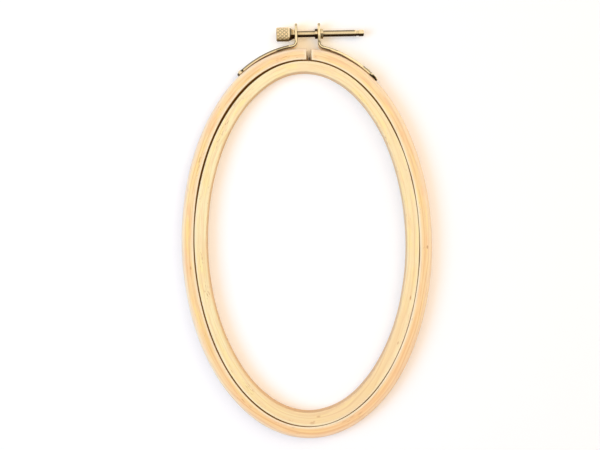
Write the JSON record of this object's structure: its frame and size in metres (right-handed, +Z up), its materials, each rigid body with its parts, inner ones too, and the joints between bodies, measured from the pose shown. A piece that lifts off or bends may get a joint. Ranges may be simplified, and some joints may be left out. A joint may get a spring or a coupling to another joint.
{
  "type": "embroidery hoop",
  "caption": "Oval wooden embroidery hoop: a closed inner ring in a split outer ring that a brass thumb screw draws together to grip cloth.",
  "frame": {"origin": "middle of the footprint, on the plane that the hoop lies on", "axes": "+Y along the oval's long axis to the clamp, +Z up out of the plane it lies on, +X along the screw from its head to its tip"},
  "size_m": [0.1132, 0.188, 0.008],
  "materials": {
    "pale_beech": "sanded",
    "warm_beech": "sanded",
    "brass_strip": "bright drawn",
    "turned_brass": "turned",
    "brass_tack": "bright"
  },
  "bodies": {
    "fixed_side": {"outer_ring_left": "warm_beech", "left_bracket": "brass_strip", "left_tack": "brass_tack"},
    "free_side": {"outer_ring_right": "warm_beech", "right_bracket": "brass_strip", "right_tack": "brass_tack", "threaded_bush": "turned_brass"},
    "inner": {"inner_ring": "pale_beech"},
    "screw": {"thumb_screw": "turned_brass"}
  },
  "joints": [
    {"name": "screw_turn", "type": "hinge", "parent": "fixed_side", "child": "screw", "pos_m": [-0.0037, 0.0892, 0.004], "axis": [-1, 0, 0], "range_deg": [0, 3600]},
    {"name": "split_opening", "type": "hinge", "parent": "fixed_side", "child": "free_side", "pos_m": [0.0026, -0.09125, 0.004], "axis": [0, 0, -1], "range_deg": [0, 1.59]},
    {"name": "inner_ring_lift", "type": "slide", "parent": "fixed_side", "child": "inner", "axis": [0, 0, 1], "range_m": [0, 0.02]}
  ],
  "couplings": [
    {"joint": "split_opening", "follows": "screw_turn", "ratio": 0.000441}
  ]
}
